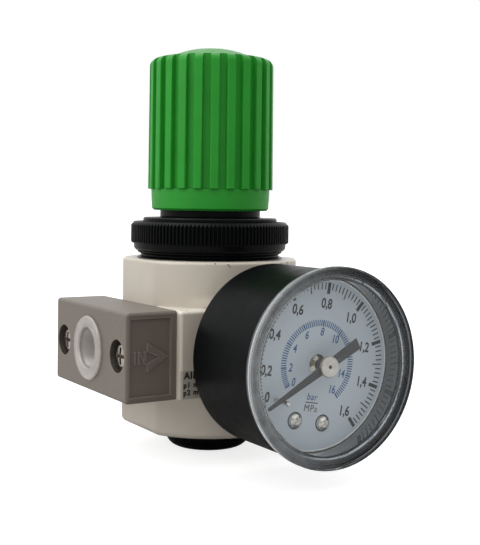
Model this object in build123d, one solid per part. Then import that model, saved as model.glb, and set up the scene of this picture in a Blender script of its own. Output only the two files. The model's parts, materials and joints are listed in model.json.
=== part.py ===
"""In-line air pressure regulator, 40 mm size class, with two bolted G1/4
connection plates, a lockable ribbed knob, a panel ring nut and a 40 mm
pressure gauge.

Frame: millimetres, +Z up along the regulating axis. The origin is the centre
of the flat underside of the bottom plug. Air flows along +X, from the inlet
plate at -X to the outlet plate at +X. The gauge faces -Y.
"""

import math
import os

from build123d import *

os.makedirs("parts", exist_ok=True)

# ----------------------------------------------------------------- levels (Z)
BODY_TOP = 46.6            # top face of the die-cast body
BODY_BOTTOM = 5.7
PORT_Z = 26.1              # axis of both connection plates
GAUGE_Z = 26.4             # axis of the gauge and of the rear gauge port

# ------------------------------------------------------------------- housing
BODY_R = 21.53             # turned part of the body
FLAT_X = 20.0              # the flats the plates bolt to, at x = +-FLAT_X
FLAT_X_LOW = 19.5          # below the plates the cast flats are set back
PAD_Y = 21.6               # faces of the gauge pads, at y = +-PAD_Y
PAD_H = 20.0               # height of the pad block, centred on PORT_Z
EDGE_PAD = 0.8
REAR_H = 14.6              # the rear pads are lower
BORE_R = 18.02             # bonnet bore
LEDGE_Z = 38.6             # ledge that carries the diaphragm
CHAMBER_R = 14.5           # sensing chamber
CHAMBER_Z = 34.0
OUT_CHAMBER_R = 7.0
OUT_CHAMBER_Z = 28.0
VALVE_CHAMBER_R = 8.6
VALVE_CHAMBER_Z0, VALVE_CHAMBER_Z1 = 10.5, 23.0
SEAT_R = 4.0
SEAT_OD_R = 5.5
PLUG_BORE_R = 10.25
G18_R = 4.30               # G1/8 port, at the thread envelope used here
TAP_M4_R = 2.05

# -------------------------------------------------------------------- bonnet
THREAD_R = 17.95           # M36 x 1.5 crest, with running clearance to the nut
THREAD_DEPTH = 0.82
THREAD_PITCH = 1.5
STEP_R = 16.63
STEP_TOP = BODY_TOP + 9.9
NECK_R = 12.44
NECK_TOP = 83.0
CAGE_R = 10.5
CAGE_TOP = 80.0
LUG_W, LUG_R = 2.4, 10.95
TEETH = 24                 # lock splines between knob and bonnet

# ------------------------------------------------------------------ ring nut
NUT_R = 19.62
NUT_COLLAR_R = 18.85
NUT_BORE_R = 18.02
NUT_Z0 = BODY_TOP + 1.84
NUT_KNURL_Z0 = BODY_TOP + 3.6
NUT_Z1 = BODY_TOP + 8.9
NUT_TEETH = 128

# ---------------------------------------------------------------------- knob
KNOB_Z0 = BODY_TOP + 11.7
KNOB_RIB_Z0 = BODY_TOP + 16.9
KNOB_Z1 = BODY_TOP + 49.0
KNOB_RIB_R0, KNOB_RIB_R1 = 15.52, 15.36
KNOB_GROOVE_R = 14.15
KNOB_COLLAR_R0, KNOB_COLLAR_R1 = 14.52, 14.72
KNOB_BORE_R = 12.75
KNOB_RIBS = 24
KNOB_RIB_W = 2.05
KNOB_RIB_TURN = 2.8        # where the ribs stand with the pressure let off
KNOB_DOME = 2.6
KNOB_LOCK_TRAVEL = 1.6

# ----------------------------------------------------------- connection plate
PLATE_X0, PLATE_X1 = 20.02, 32.4
PLATE_W, PLATE_H = 40.0, 20.0
PLATE_EDGE = 0.8
G14_R = 6.58               # G1/4 thread envelope (major radius)
G14_DEPTH = 9.5
WAY_R = 5.0                # plain way behind the thread
SCREW_Y = 15.0
CBORE_R, CBORE_DEPTH = 3.75, 3.6
RECESS = 0.5

# --------------------------------------------------------------------- gauge
GAUGE_TURN = -10.0         # the gauge is screwed in ten degrees past upright
CASE_R, CASE_WALL = 20.26, 0.96
CASE_L0, CASE_L1 = 27.2, 50.8
WINDOW_R = 21.1
WINDOW_L1 = 52.5
DIAL_L, DIAL_T, DIAL_R = 44.6, 0.4, 18.6
CASE_STEP_L = 49.2         # the case is wider inside from here, for the window
POINTER_L = 48.2
POINTER_REST = 218.0       # direction of the pointer at zero, gauge frame
SCREW_GX, SCREW_GY = 3.65, -12.25
MODULE = 0.25
PINION_T, SECTOR_T = 10, 60
PIVOT_A = -60.0            # direction of the sector pivot from the gauge axis
PIVOT_D = MODULE * (PINION_T + SECTOR_T) / 2 + 0.03


# ------------------------------------------------------------------- helpers
def turned(points):
    """A solid of revolution about Z from (radius, height) points."""
    wire = Polyline(*[(r, 0, z) for r, z in points], close=True)
    return revolve(make_face(wire), axis=Axis.Z)


def rod(r, z0, z1, x=0.0, y=0.0):
    return Pos(x, y, (z0 + z1) / 2) * Cylinder(r, z1 - z0)


def tube(r1, r0, z0, z1, x=0.0, y=0.0):
    return rod(r1, z0, z1, x, y) - rod(r0, z0 - 1, z1 + 1, x, y)


def block(x0, x1, y0, y1, z0, z1):
    return Pos((x0 + x1) / 2, (y0 + y1) / 2, (z0 + z1) / 2) * Box(
        x1 - x0, y1 - y0, z1 - z0
    )


def along_x(shape):
    """A shape built along +Z is laid along +X."""
    return Rot(0, 90, 0) * shape


def polar(r, deg):
    a = math.radians(deg)
    return (r * math.cos(a), r * math.sin(a))


def pad_gon(points, z0, z1):
    """A flat outline in XY, raised from z0 to z1."""
    face = make_face(Polyline(*[(x, y, 0) for x, y in points], close=True))
    return Pos(0, 0, z0) * extrude(face, amount=z1 - z0)


def soften(shape, edges, *radii):
    """The largest of these edge radii that the shape takes."""
    for r in radii:
        try:
            out = fillet(edges, radius=r)
            if out.is_valid and len(out.solids()) == len(shape.solids()):
                return out
        except Exception:
            continue
    return shape


def coil(radius, wire_r, z0, z1, turns):
    """A compression spring: live coils between two closed, ground end rings."""
    z0, z1 = z0 + wire_r, z1 - wire_r
    pitch = (z1 - z0) / turns
    path = Pos(0, 0, z0) * Helix(pitch=pitch, height=z1 - z0, radius=radius)
    start = path @ 0
    profile = Plane(origin=start, z_dir=path % 0) * Circle(wire_r)
    wire = sweep(profile, path=path)
    rings = [
        Pos(0, 0, z) * Torus(radius, wire_r) for z in (z0, z1)
    ]
    return wire + rings[0] + rings[1]


PARTS = {}


def part(node, *solids):
    PARTS[node] = list(solids)


# ====================================================================== body
half = PAD_H / 2


def pad_block(side, h):
    """Gauge pad on one side, with lugs out to the flats for the plate screws."""
    b = block(-FLAT_X, FLAT_X, *sorted((0, side * PAD_Y)), PORT_Z - h, PORT_Z + h)
    b = fillet(
        [e for e in b.edges().filter_by(Axis.Z) if side * e.center().Y > 1],
        radius=EDGE_PAD,
    )
    return fillet(
        [e for e in b.edges().filter_by(Axis.X) if side * e.center().Y > 1],
        radius=0.9,
    )


pad = pad_block(-1, half) + pad_block(1, REAR_H / 2)
barrel = rod(BODY_R, BODY_BOTTOM, BODY_TOP) & block(
    -FLAT_X, FLAT_X, -30, 30, 0, 60
)
for s in (-1, 1):
    x0, x1 = sorted((s * FLAT_X_LOW, s * 30))
    barrel -= block(x0, x1, -30, 30, BODY_BOTTOM - 1, PORT_Z - half)
# the cast corners between the flats and the turned part are well rounded
corners = [
    e for e in barrel.edges().filter_by(Axis.Z) if abs(e.center().Y) > 5
]
barrel = soften(barrel, corners, 6.0, 4.0, 2.5)
barrel = soften(
    barrel, barrel.faces().sort_by(Axis.Z)[0].edges(), 1.6, 1.3, 1.0, 0.8, 0.6
)
barrel = soften(
    barrel, barrel.faces().sort_by(Axis.Z)[-1].edges(), 0.7, 0.5
)
body = barrel + pad
joint_edges = [
    e
    for e in body.edges()
    if e.geom_type == GeomType.CIRCLE
    and abs(e.radius - BODY_R) < 0.01
    and any(
        abs(abs(e.center().Z - PORT_Z) - h) < 0.01 for h in (half, REAR_H / 2)
    )
]
body = soften(body, joint_edges, 1.4, 1.0, 0.6)

body -= rod(BORE_R, LEDGE_Z, BODY_TOP + 1)
body -= rod(CHAMBER_R, CHAMBER_Z, LEDGE_Z + 1)
body -= rod(OUT_CHAMBER_R, OUT_CHAMBER_Z, CHAMBER_Z + 1)
body -= rod(SEAT_OD_R, VALVE_CHAMBER_Z1 - 1, OUT_CHAMBER_Z + 1)
body -= rod(VALVE_CHAMBER_R, VALVE_CHAMBER_Z0 - 0.5, VALVE_CHAMBER_Z1)
body -= rod(PLUG_BORE_R, BODY_BOTTOM - 1, VALVE_CHAMBER_Z0)


def slanted(p, q, r):
    v = Vector(q[0] - p[0], q[1] - p[1], q[2] - p[2])
    mid = ((p[0] + q[0]) / 2, (p[1] + q[1]) / 2, (p[2] + q[2]) / 2)
    return Plane(origin=mid, z_dir=v) * Cylinder(r, v.length)


body -= slanted((-20.5, 0, PORT_Z), (-5, 0, 17.2), 3.2)
body -= slanted((20.5, 0, PORT_Z), (5, 0, 31.4), 3.0)
for s in (-1, 1):
    body -= Pos(s * 18.5, 0, PORT_Z) * along_x(Cylinder(4.8, 4))
    for y in (-SCREW_Y, SCREW_Y):
        body -= Pos(s * 15.5, y, PORT_Z) * along_x(Cylinder(TAP_M4_R, 10))
    # gauge ports, front and rear, with a fine way to the outlet side
    body -= Pos(0, s * (PAD_Y - 4), GAUGE_Z) * (
        Rot(90, 0, 0) * Cylinder(G18_R, 8.01)
    )
    body -= slanted((0, s * 15.5, GAUGE_Z), (0, s * 5, 31.6), 1.2)
part("body", body)

# valve seat ring, pressed into the web between the two chambers
seat = turned(
    [
        (SEAT_R, 22.6),
        (4.5, 22.6),
        (4.9, 23.0),
        (SEAT_OD_R, 23.0),
        (SEAT_OD_R, 28.0),
        (4.6, 28.0),
        (SEAT_R, 27.4),
    ]
)
part("valve_seat", seat)

# =============================================================== bottom plug
plug = turned(
    [
        (0, 0),
        (10.5, 0),
        (10.5, BODY_BOTTOM - 0.04),
        (10.2, BODY_BOTTOM - 0.04),
        (10.2, 6.4),
        (8.9, 6.4),
        (8.9, 8.4),
        (10.2, 8.4),
        (10.2, 10.0),
        (9.7, 10.5),
        (5.2, 10.5),
        (5.2, 9.9),
        (3.2, 9.9),
        (3.2, 10.5),
        (2.5, 10.5),
        (2.5, 4.6),
        (0, 4.2),
    ]
)
plug = soften(
    plug,
    [e for e in plug.edges() if abs(e.center().Z) < 1e-6 and e.length > 60],
    3.2,
    3.0,
)
part("bottom_plug", plug)
part("plug_o_ring", Pos(0, 0, 7.4) * Torus(9.56, 0.64))

# ===================================================================== valve
valve = turned(
    [
        (0, 6.6),
        (1.9, 6.6),
        (2.42, 7.2),
        (2.42, 19.4),
        (3.3, 20.0),
        (5.4, 20.0),
        (5.4, 22.2),
        (5.05, 22.2),
        (5.05, 21.1),
        (1.5, 21.1),
        (1.5, 36.7),
        (1.1, 37.38),
        (0, 37.38),
    ]
)
part("valve_stem", valve)
part(
    "valve_disc_seal",
    turned([(1.5, 21.1), (5.05, 21.1), (5.05, 22.2), (4.9, 22.58), (1.5, 22.58)]),
)
part("valve_spring", coil(4.2, 0.3, 9.9, 20.0, 6))

# ================================================================= diaphragm
part(
    "diaphragm",
    turned(
        [
            (2.95, 38.6),
            (17.9, 38.6),
            (17.9, 39.6),
            (2.95, 39.6),
        ]
    ),
)
part(
    "relief_seat",
    turned(
        [
            (1.0, 37.8),
            (1.5, 37.4),
            (5.6, 37.4),
            (6.0, 37.8),
            (6.0, 38.6),
            (2.95, 38.6),
            (2.95, 41.9),
            (2.65, 42.2),
            (1.0, 42.2),
        ]
    ),
)
part(
    "diaphragm_disc",
    turned(
        [
            (2.95, 39.6),
            (12.1, 39.6),
            (12.5, 40.0),
            (12.5, 40.4),
            (12.1, 40.8),
            (10.9, 40.8),
            (10.6, 41.9),
            (10.05, 41.9),
            (9.85, 40.8),
            (2.95, 40.8),
        ]
    ),
)
SPRING_Z0 = 40.8
NUT_DISC_Z0 = 72.0
part("range_spring", coil(7.9, 1.6, SPRING_Z0, NUT_DISC_Z0, 5))

# ==================================================================== bonnet
outline = [(CAGE_R, CAGE_TOP), (CAGE_R, 44.2), (13.5, 42.6), (13.5, 39.6)]
outline += [(17.6, 39.6), (THREAD_R, 40.0)]
z = BODY_TOP - 3.0
while z + THREAD_PITCH < STEP_TOP - 1.35:
    outline += [
        (THREAD_R, z + 0.14),
        (THREAD_R - THREAD_DEPTH, z + 0.62),
        (THREAD_R - THREAD_DEPTH, z + 0.88),
        (THREAD_R, z + 1.36),
    ]
    z += THREAD_PITCH
outline += [
    (THREAD_R, z + 0.14),
    (STEP_R, z + 0.75),
    (STEP_R, STEP_TOP - 0.3),
    (STEP_R - 0.3, STEP_TOP),
    (NECK_R + 0.35, STEP_TOP),
    (NECK_R, STEP_TOP + 0.35),
    (NECK_R, NECK_TOP - 0.4),
    (NECK_R - 0.4, NECK_TOP),
    (3.05, NECK_TOP),
    (3.05, CAGE_TOP),
]
bonnet = turned(outline)
grooves = []
for i in range(TEETH):
    grooves.append(
        Rot(0, 0, i * 360 / TEETH)
        * block(11.94, 13.2, -0.75, 0.75, 79.0, NECK_TOP + 1)
    )
bonnet -= Compound(children=grooves)
for s in (-1, 1):
    bonnet -= block(
        *sorted((s * 8.0, s * (LUG_R + 0.15))), -LUG_W / 2 - 0.1, LUG_W / 2 + 0.1, 60, 78.6
    )
bonnet -= Pos(0, -11.5, 74) * (Rot(90, 0, 0) * Cylinder(0.6, 6))
part("bonnet", bonnet)

# ============================================================ adjusting screw
spindle = turned(
    [
        (0, 62.2),
        (2.5, 62.2),
        (2.96, 62.7),
        (2.96, 76.6),
        (6.0, 76.6),
        (6.0, 79.0),
        (5.7, 79.2),
        (2.98, 79.2),
        (2.98, 83.6),
        (0, 83.6),
    ]
)
stem_hex = Pos(0, 0, 83.5) * extrude(RegularPolygon(2.5, 6, major_radius=False), 7.2)
spindle += stem_hex
part("adjusting_spindle", spindle)
part("thrust_washer", tube(6.4, 3.02, 79.2, 79.98))

lugs = [
    block(*sorted((s * 8.0, s * LUG_R)), -LUG_W / 2, LUG_W / 2, 72.0, 75.5)
    for s in (-1, 1)
]
seat_nut = turned(
    [
        (3.0, 69.4),
        (5.0, 69.4),
        (5.4, 69.8),
        (5.4, 72.0),
        (10.1, 72.0),
        (10.35, 72.3),
        (10.35, 75.2),
        (10.1, 75.5),
        (5.4, 75.5),
        (5.1, 76.3),
        (3.0, 76.3),
    ]
)
seat_nut = seat_nut + lugs[0] + lugs[1]
part("spring_seat_nut", seat_nut)

# ================================================================== ring nut
n = NUT_TEETH
gon = []
for i in range(n):
    a = 360.0 / n
    gon.append(polar(NUT_R, (i - 0.16) * a))
    gon.append(polar(NUT_R, (i + 0.16) * a))
    gon.append(polar(NUT_R - 0.44, (i + 0.42) * a))
    gon.append(polar(NUT_R - 0.44, (i + 0.58) * a))
knurl = pad_gon(gon, NUT_KNURL_Z0, NUT_Z1)
limit = turned(
    [
        (NUT_BORE_R, NUT_KNURL_Z0),
        (NUT_R - 0.3, NUT_KNURL_Z0),
        (NUT_R + 0.1, NUT_KNURL_Z0 + 0.4),
        (NUT_R + 0.1, NUT_Z1 - 1.0),
        (NUT_R - 0.75, NUT_Z1),
        (NUT_BORE_R + 0.35, NUT_Z1),
        (NUT_BORE_R, NUT_Z1 - 0.35),
    ]
)
knurl = knurl & limit
collar = turned(
    [
        (NUT_BORE_R + 0.3, NUT_Z0),
        (NUT_COLLAR_R - 0.45, NUT_Z0),
        (NUT_COLLAR_R, NUT_Z0 + 0.55),
        (NUT_COLLAR_R + 0.1, NUT_KNURL_Z0 + 0.05),
        (NUT_BORE_R, NUT_KNURL_Z0 + 0.05),
        (NUT_BORE_R, NUT_Z0 + 0.3),
    ]
)
part("ring_nut", knurl + collar)

# ====================================================================== knob
shell = turned(
    [
        (0, KNOB_RIB_Z0),
        (KNOB_RIB_R0 - 0.12, KNOB_RIB_Z0),
        (KNOB_RIB_R0, KNOB_RIB_Z0 + 0.15),
        (KNOB_RIB_R1, KNOB_Z1),
        (0, KNOB_Z1),
    ]
)
shell = fillet(
    [e for e in shell.edges() if abs(e.center().Z - KNOB_Z1) < 1e-4 and e.length > 50],
    radius=1.9,
)
a_rib = math.degrees(KNOB_RIB_W / 2 / KNOB_RIB_R0)
a_pitch = 360.0 / KNOB_RIBS
section = Circle(KNOB_RIB_R0 + 0.5)
slots = []
for i in range(KNOB_RIBS):
    c = (i + 0.5) * a_pitch + KNOB_RIB_TURN
    half_w = a_pitch / 2 - a_rib
    pts = [
        polar(KNOB_GROOVE_R, c - half_w * 0.93),
        polar(KNOB_RIB_R0 - 0.22, c - half_w),
        polar(KNOB_RIB_R0 - 0.02, c - half_w - 0.85),
        polar(KNOB_RIB_R0 + 1.2, c - half_w - 0.85),
        polar(KNOB_RIB_R0 + 1.2, c + half_w + 0.85),
        polar(KNOB_RIB_R0 - 0.02, c + half_w + 0.85),
        polar(KNOB_RIB_R0 - 0.22, c + half_w),
        polar(KNOB_GROOVE_R, c + half_w * 0.93),
    ]
    slots.append(pad_gon(pts, KNOB_RIB_Z0 - 0.5, KNOB_Z1 + 2))
ribbed = shell - Compound(children=slots)
base = turned(
    [
        (0, KNOB_Z0),
        (KNOB_COLLAR_R0 - 0.5, KNOB_Z0),
        (KNOB_COLLAR_R0, KNOB_Z0 + 0.5),
        (KNOB_COLLAR_R1, KNOB_RIB_Z0 - 0.12),
        (KNOB_COLLAR_R1 - 0.12, KNOB_RIB_Z0),
        (KNOB_GROOVE_R, KNOB_RIB_Z0),
        (0, KNOB_RIB_Z0),
    ]
)
dome = turned(
    [
        (0, KNOB_Z1 - 1),
        (12.2, KNOB_Z1 - 1),
        (12.2, KNOB_Z1 + 0.05),
        (10.8, KNOB_Z1 + 0.47),
        (9.4, KNOB_Z1 + 0.98),
        (8.0, KNOB_Z1 + 1.49),
        (6.6, KNOB_Z1 + 1.93),
        (5.2, KNOB_Z1 + 2.26),
        (3.8, KNOB_Z1 + KNOB_DOME - 0.14),
        (2.0, KNOB_Z1 + KNOB_DOME - 0.03),
        (0, KNOB_Z1 + KNOB_DOME),
    ]
)
knob = ribbed + base + dome
knob -= rod(KNOB_BORE_R, KNOB_Z0 - 1, 92.3)
knob += rod(5.4, 85.6, 92.5)
knob -= Pos(0, 0, 85.0) * extrude(RegularPolygon(2.56, 6, major_radius=False), 7.6)
ribs = [
    Rot(0, 0, i * 360 / TEETH) * block(12.06, 13.2, -0.6, 0.6, 83.4, 86.6)
    for i in range(TEETH)
]
knob += ribs
part("knob", knob)


# ========================================================= connection plates
def stroke(points, w):
    """A closed outline of one straight letter stroke between two points."""
    (x0, y0), (x1, y1) = points
    d = math.hypot(x1 - x0, y1 - y0)
    nx, ny = -(y1 - y0) / d * w / 2, (x1 - x0) / d * w / 2
    return [(x0 + nx, y0 + ny), (x1 + nx, y1 + ny), (x1 - nx, y1 - ny), (x0 - nx, y0 - ny)]


LETTERS = {
    "I": (0.5, [[(0.25, 0), (0.25, 1)]]),
    "N": (1.0, [[(0.12, 0), (0.12, 1)], [(0.12, 1), (0.78, 0)], [(0.78, 0), (0.78, 1)]]),
    "U": (1.0, [[(0.12, 0), (0.12, 1)], [(0.12, 0.09), (0.78, 0.09)], [(0.78, 0), (0.78, 1)]]),
    "T": (0.95, [[(0.42, 0), (0.42, 1)], [(0.02, 0.91), (0.82, 0.91)]]),
    "O": (
        1.0,
        [[(0.12, 0), (0.12, 1)], [(0.12, 0.09), (0.78, 0.09)], [(0.78, 0), (0.78, 1)], [(0.12, 0.91), (0.78, 0.91)]],
    ),
}


def word(text, x0, y0, height, w, z0, z1, squeeze=1.0):
    """Plain raised capitals in the XY plane, left edge at x0, foot at y0."""
    bits, x = [], x0
    for ch in text:
        adv, strokes = LETTERS[ch]
        for s in strokes:
            pts = [(x + px * height * 0.78 * squeeze, y0 + py * height) for px, py in s]
            bits.append(pad_gon(stroke(pts, w), z0, z1))
        x += (adv * 0.78 * squeeze + 0.06) * height
    return bits


def plate(side):
    """side -1 is the inlet plate, +1 the outlet plate."""
    p = block(PLATE_X0, PLATE_X1, -PLATE_W / 2, PLATE_W / 2, PORT_Z - half, PORT_Z + half)
    outer = [e for e in p.edges() if e.center().X > PLATE_X0 + 0.01]
    p = fillet(outer, radius=PLATE_EDGE)
    p -= Pos(PLATE_X1 - G14_DEPTH / 2, 0, PORT_Z) * along_x(Cylinder(G14_R, G14_DEPTH + 0.001))
    p -= Pos(26, 0, PORT_Z) * along_x(Cylinder(WAY_R, 14))
    # countersunk lead-in at the mouth
    p -= Pos(PLATE_X1 - 0.2, 0, PORT_Z) * along_x(Cone(G14_R, G14_R + 0.4, 0.4))
    # face-seal groove towards the body
    p -= Pos(PLATE_X0 + 0.6, 0, PORT_Z) * along_x(Cylinder(8.0, 1.2) - Cylinder(6.2, 1.3))
    for y in (-SCREW_Y, SCREW_Y):
        p -= Pos(PLATE_X1 - CBORE_DEPTH / 2, y, PORT_Z) * along_x(
            Cylinder(CBORE_R, CBORE_DEPTH + 0.001)
        )
        p -= Pos(26, y, PORT_Z) * along_x(Cylinder(2.15, 14))
    if side < 0:
        p = Rot(0, 0, 180) * p
    # recessed panel with raised word and flow arrow, on both long sides
    for face in (-1, 1):
        # panel frame: u to the right when the face is looked at, v up
        def place(obj):
            if face < 0:
                return Pos(0, -PLATE_W / 2, PORT_Z) * (Rot(90, 0, 0) * obj)
            return Pos(0, PLATE_W / 2, PORT_Z) * (Rot(0, 0, 180) * (Rot(90, 0, 0) * obj))

        s = side if face < 0 else -side           # which way u sees the plate
        u0, u1 = sorted((s * 21.5, s * 31.6))
        panel = place(block(u0, u1, -8.6, 8.6, -RECESS, 1.0))
        flow = 1 if face < 0 else -1              # flow along +X, seen in u
        if side < 0:
            base_u, tip_u = (-27.3, -22.2) if face < 0 else (27.3, 22.2)
        else:
            base_u, tip_u = (25.4, 30.5) if face < 0 else (-25.4, -30.5)
        arrow = pad_gon(
            [
                (base_u, 3.2),
                (tip_u, 0.1),
                (base_u, -3.15),
                (base_u, -1.45),
                (base_u + flow * 2.9, 0.05),
                (base_u, 1.35),
            ],
            -RECESS - 0.1,
            -0.06,
        )
        if side < 0:
            left = -30.9 if face < 0 else 27.75
            letters = word("IN", left, -1.35, 2.7, 0.42, -RECESS - 0.1, -0.06, 1.1)
        else:
            left = 21.95 if face < 0 else -25.15
            letters = word("OUT", left, -1.2, 2.2, 0.36, -RECESS - 0.1, -0.06, 0.5)
        p -= panel
        p += place(arrow)
        for bit in letters:
            p += place(bit)
    return p


part("inlet_plate", plate(-1))
part("outlet_plate", plate(1))

part(
    "plate_seals",
    *[
        Pos(s * (PLATE_X0 + 0.58), 0, PORT_Z) * along_x(Torus(7.1, 0.58))
        for s in (-1, 1)
    ],
)


def plate_screw():
    """Pan-head cross-recess screw along +X, head outermost."""
    floor = PLATE_X1 - CBORE_DEPTH
    head = turned(
        [(0, floor), (3.4, floor), (3.4, floor + 1.5), (3.1, floor + 2.15), (2.3, floor + 2.6), (0, floor + 2.8)]
    )
    cross = block(-0.42, 0.42, -1.9, 1.9, floor + 1.3, floor + 4)
    cross += block(-1.9, 1.9, -0.42, 0.42, floor + 1.3, floor + 4)
    shank = rod(2.0, 12.2, floor + 0.2)
    return Rot(0, 90, 0) * (head + shank - cross)


screws = []
for s in (-1, 1):
    for y in (-SCREW_Y, SCREW_Y):
        one = Pos(0, y, PORT_Z) * plate_screw()
        screws.append(one if s > 0 else Rot(0, 0, 180) * (Pos(0, -y, PORT_Z) * plate_screw()))
part("plate_screws", *screws)

# transport cap pressed into the inlet port
cap = turned(
    [
        (0, 24.5),
        (5.2, 24.5),
        (5.55, 25.0),
        (5.6, PLATE_X1 + 0.02),
        (7.2, PLATE_X1 + 0.02),
        (7.45, PLATE_X1 + 0.22),
        (7.45, PLATE_X1 + 0.52),
        (7.25, PLATE_X1 + 0.75),
        (4.95, PLATE_X1 + 0.75),
        (4.62, PLATE_X1 + 0.45),
        (4.5, 25.6),
        (0, 25.6),
    ]
)
part("inlet_port_cap", Pos(0, 0, PORT_Z) * (Rot(0, -90, 0) * cap))


# ===================================================================== gauge
def G(shape):
    """Gauge frame: +Z towards the reader, +Y up the dial, L = distance from the
    regulating axis, then turned to where the gauge has been screwed home."""
    return Pos(0, 0, GAUGE_Z) * (Rot(90, 0, 0) * (Rot(0, 0, GAUGE_TURN) * shape))


SEAL_T = 0.8               # sealing ring under the gauge and the rear plug
stem = rod(4.24, PAD_Y - 7.6, PAD_Y + 1.0)
stem += Pos(0, 0, PAD_Y + SEAL_T) * extrude(
    RegularPolygon(6.0, 6, major_radius=False), CASE_L0 - PAD_Y - SEAL_T - 0.02
)
stem += rod(5.1, 27.0, 28.3)
stem += block(-6.5, 6.5, -14.3, 5.2, CASE_L0 + 1.02, 34.0)
TUBE_R, TUBE_A0, TUBE_SWEEP = 15.7, -112.0, 252.0


def bourdon():
    """C-shaped flattened tube: an oval ring, less the open sector."""
    ring = turned(
        [
            (TUBE_R - 0.9, 36.0),
            (TUBE_R - 0.45, 35.2),
            (TUBE_R + 0.45, 35.2),
            (TUBE_R + 0.9, 36.0),
            (TUBE_R + 0.9, 39.4),
            (TUBE_R + 0.45, 40.2),
            (TUBE_R - 0.45, 40.2),
            (TUBE_R - 0.9, 39.4),
        ]
    )
    open_pts = [(0, 0)] + [polar(30, a) for a in (0, -28, -56, -84, TUBE_A0)]
    return ring - pad_gon(open_pts, 30, 45)


lug = pad_gon([(-9.4, -17.0), (-5.3, -17.0), (-5.3, -13.4), (-9.4, -13.4)], 28.5, 40.6)
lug = lug & rod(18.5, 20, 50)
stem += lug
stem -= rod(1.6, 14, 31)
tube_c = bourdon()
stem -= tube_c
part("gauge_stem", G(stem))
tip = block(12.2, 15.2, -0.1, 2.2, 36.6, 38.2)
tip = tip + rod(1.3, 36.6, 38.2, 12.4, 1.0) - rod(0.55, 36, 39, 12.4, 1.0)
part("bourdon_tube", G(tube_c + tip))
part("gauge_seal", G(tube(6.8, 4.4, PAD_Y + 0.02, PAD_Y + SEAL_T - 0.02)))

case = turned(
    [
        (5.15, CASE_L0),
        (CASE_R, CASE_L0),
        (CASE_R, CASE_L1 - 1.1),
        (WINDOW_R - 0.25, CASE_L1 - 0.75),
        (WINDOW_R - 0.2, CASE_L1 - 0.05),
        (WINDOW_R - 0.25, CASE_L1),
        (CASE_R - CASE_WALL + 0.2, CASE_L1),
        (CASE_R - CASE_WALL, CASE_L1 - 0.2),
        (CASE_R - CASE_WALL, CASE_STEP_L),
        (DIAL_R + 0.1, CASE_STEP_L),
        (DIAL_R + 0.1, CASE_L0 + 1.0),
        (5.15, CASE_L0 + 1.0),
    ]
)
case = soften(
    case,
    [e for e in case.edges() if abs(e.center().Z - CASE_L0) < 1e-4 and e.length > 100],
    0.9,
    0.6,
)
part("gauge_case", G(case))

window = turned(
    [
        (0, 50.3),
        (18.3, 50.3),
        (18.55, 50.15),
        (18.65, 49.8),
        (19.2, 49.8),
        (19.25, CASE_L1 + 0.02),
        (WINDOW_R - 0.15, CASE_L1 + 0.02),
        (WINDOW_R, CASE_L1 + 0.2),
        (WINDOW_R, CASE_L1 + 0.7),
        (WINDOW_R - 0.12, CASE_L1 + 0.85),
        (WINDOW_R, CASE_L1 + 1.0),
        (WINDOW_R, WINDOW_L1 - 0.3),
        (WINDOW_R - 0.3, WINDOW_L1),
        (WINDOW_R - 0.95, WINDOW_L1),
        (19.55, WINDOW_L1 - 0.25),
        (18.55, 51.75),
        (18.2, 51.6),
        (0, 51.6),
    ]
)
part("gauge_window", G(window))

dial = rod(DIAL_R, DIAL_L, DIAL_L + DIAL_T) - rod(2.1, 40, 50)
for s in (-1, 1):
    dial -= rod(1.85, 40, 50, s * SCREW_GX, SCREW_GY)
PIN_XY = polar(12.5, 90 + 132.3)
dial -= rod(0.52, 40, 50, *PIN_XY)
part("gauge_dial", G(dial))
pin = turned([(0, 42.7), (0.95, 42.7), (0.95, DIAL_L - 0.02), (0.5, DIAL_L - 0.02), (0.5, 49.6), (0.35, 49.8), (0, 49.8)])
part("stop_pin", G(Pos(PIN_XY[0], PIN_XY[1], 0) * pin))

# movement: two plates on pillars, screwed to the stem block
pivot = polar(PIVOT_D, PIVOT_A)
outline_m = [(-5.2, -14.2), (6.6, -14.2), (7.4, -8.0), (3.2, 7.8), (-3.2, 7.8), (-5.2, -6.0)]
frame = pad_gon(outline_m, 34.02, 35.0) + pad_gon(outline_m, 42.8, 43.8)
for s in (-1, 1):
    frame += rod(1.5, 34.5, 43.0, s * SCREW_GX, SCREW_GY)
frame += rod(1.2, 34.5, 43.0, 0, 6.0)
for s in (-1, 1):
    frame -= rod(0.98, 30, 50, s * SCREW_GX, SCREW_GY)
frame -= rod(0.56, 30, 50)
frame -= rod(0.66, 30, 50, *pivot)
part("movement_frame", G(frame))


def movement_screw():
    head = turned([(0, 43.82), (1.6, 43.82), (1.6, 44.9), (1.35, 45.5), (0.8, 45.88), (0, 46.0)])
    slot = block(-1.7, 1.7, -0.14, 0.14, 45.6, 47)
    return head + rod(0.9, 34.1, 44.0) - Rot(0, 0, 35) * slot


part(
    "movement_screws",
    *[G(Pos(s * SCREW_GX, SCREW_GY, 0) * movement_screw()) for s in (-1, 1)],
)


def toothed(teeth, phase, first=0, last=None, inner=0.0):
    """Outline of a small gear (or of its teeth first..last) about the origin."""
    rp = MODULE * teeth / 2
    step = 360.0 / teeth
    last = teeth if last is None else last
    pts = []
    for i in range(first, last):
        c = phase + i * step
        pts.append(polar(rp - 0.33, c - 0.33 * step))
        pts.append(polar(rp - 0.02, c - 0.21 * step))
        pts.append(polar(rp + 0.18, c - 0.09 * step))
        pts.append(polar(rp + 0.18, c + 0.09 * step))
        pts.append(polar(rp - 0.02, c + 0.21 * step))
        pts.append(polar(rp - 0.33, c + 0.33 * step))
    return pts


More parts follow.
